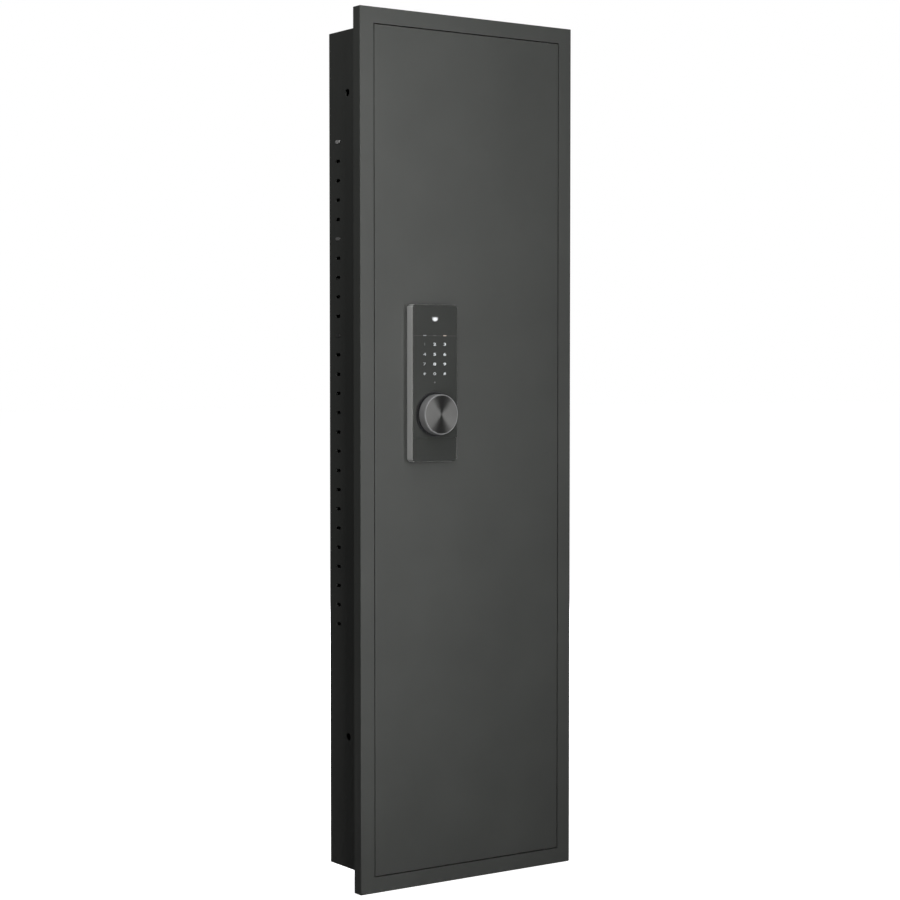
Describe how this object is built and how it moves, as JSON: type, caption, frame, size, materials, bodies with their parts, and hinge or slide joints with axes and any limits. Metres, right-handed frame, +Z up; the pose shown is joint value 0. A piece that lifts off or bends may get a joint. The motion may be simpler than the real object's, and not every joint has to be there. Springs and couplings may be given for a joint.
{
  "type": "wall safe",
  "caption": "Tall recessed wall safe: shallow box with a trim flange, flush hinged door, electronic lock with touch keypad, emergency key and turning knob.",
  "frame": {"origin": "middle of the hole in the wall, in the plane of the wall's surface, which is the plane of the trim flange's rear face", "axes": "+X to the right as seen from the room, +Y into the wall, +Z up; the room is at -Y"},
  "size_m": [0.3404, 0.135, 1.143],
  "materials": {
    "box_paint": "fine dark grey powder coat",
    "trim_paint": "fine dark grey powder coat",
    "door_paint": "fine dark grey powder coat",
    "shelf_paint": "dark grey powder coat",
    "zinc": "bright zinc plate",
    "steel": "ground steel, lightly oiled",
    "sheet_steel": "plain cold-rolled sheet",
    "bronze": "sintered bronze",
    "rubber": "soft black rubber",
    "housing_metal": "grey anodised, finely brushed",
    "touch_glass": "smoked gloss panel",
    "lamp_lens": "frosted white lens, lit",
    "light_line": "smoked light guide, faintly lit",
    "knob_metal": "grey anodised, turned",
    "knob_face_metal": "turned face with a fan of light",
    "circuit_board": "green solder mask",
    "black_plastic": "moulded black, fine grain",
    "coil_tape": "copper winding under clear tape",
    "battery_sleeve": null,
    "brass": "turned brass",
    "ribbon": "grey ribbon cable"
  },
  "bodies": {
    "case": {"case_back": "box_paint", "case_left": "box_paint", "case_right": "box_paint", "case_top": "box_paint", "case_bottom": "box_paint", "flange_frame": "trim_paint", "lock_side_stop": "box_paint", "end_stops": "box_paint", "door_bumpers": "rubber", "shelf_upper": "shelf_paint", "shelf_middle": "shelf_paint", "shelf_lower": "shelf_paint", "shelf_brackets": "zinc", "pivot_blocks": "box_paint", "pivot_bushes": "black_plastic"},
    "door": {"door_panel": "door_paint", "door_liner": "door_paint", "door_stiffeners": "sheet_steel", "pivot_plates": "sheet_steel", "pivot_pins": "steel", "bolt_guides": "zinc", "guide_screws": "zinc", "lock_gasket": "rubber", "lock_housing": "housing_metal", "touch_panel": "touch_glass", "light_guide": "light_line", "status_lamp": "lamp_lens", "keypad_board": "circuit_board", "keypad_cable": "ribbon", "key_cylinder": "steel", "power_port": "black_plastic", "knob_escutcheon": "black_plastic", "lock_screws": "zinc", "lock_base_plate": "sheet_steel", "spindle_bush": "bronze", "lock_case": "door_paint", "lock_case_screws": "zinc", "control_board": "circuit_board", "battery_tray": "black_plastic", "batteries": "battery_sleeve", "battery_contacts": "zinc", "solenoid_frame": "zinc", "solenoid_coil": "coil_tape", "plunger_spring": "steel"},
    "knob": {"knob_body": "knob_metal", "knob_face": "knob_face_metal", "knob_spindle": "steel", "knob_set_screw": "steel", "pinion": "steel", "spindle_clip": "steel"},
    "boltwork": {"bolt_bar": "zinc", "bolts": "steel", "rack": "steel", "bolt_screws": "steel"},
    "blocking_plunger": {"plunger": "steel"},
    "key_core": {"key_plug": "brass", "key_cam": "zinc"},
    "key_cover": {"key_cover": "touch_glass"},
    "battery_cover": {"battery_cover": "black_plastic"}
  },
  "joints": [
    {"name": "door_hinge", "type": "hinge", "parent": "case", "child": "door", "pos_m": [0.1283, -0.0095, 0], "axis": [0, 0, 1], "range_deg": [0, 105]},
    {"name": "bolt_throw", "type": "slide", "parent": "door", "child": "boltwork", "axis": [-1, 0, 0], "range_m": [0, 0.0157]},
    {"name": "knob_turn", "type": "hinge", "parent": "door", "child": "knob", "pos_m": [-0.06375, -0.038, 0.0496], "axis": [0, 1, 0], "range_deg": [0, 90]},
    {"name": "plunger_slide", "type": "slide", "parent": "door", "child": "blocking_plunger", "axis": [0, 0, 1], "range_m": [0, 0.0036], "deforming": ["plunger_spring"]},
    {"name": "key_turn", "type": "hinge", "parent": "door", "child": "key_core", "pos_m": [-0.07275, -0.02, 0.0035], "axis": [0, -1, 0], "range_deg": [0, 90]},
    {"name": "key_cover_slide", "type": "slide", "parent": "door", "child": "key_cover", "axis": [0, 0, -1], "range_m": [0, 0.03]},
    {"name": "battery_cover_slide", "type": "slide", "parent": "door", "child": "battery_cover", "axis": [0, 0, 1], "range_m": [0, 0.012]}
  ],
  "couplings": [
    {"joint": "knob_turn", "follows": "bolt_throw", "rad_per_m": 100}
  ]
}
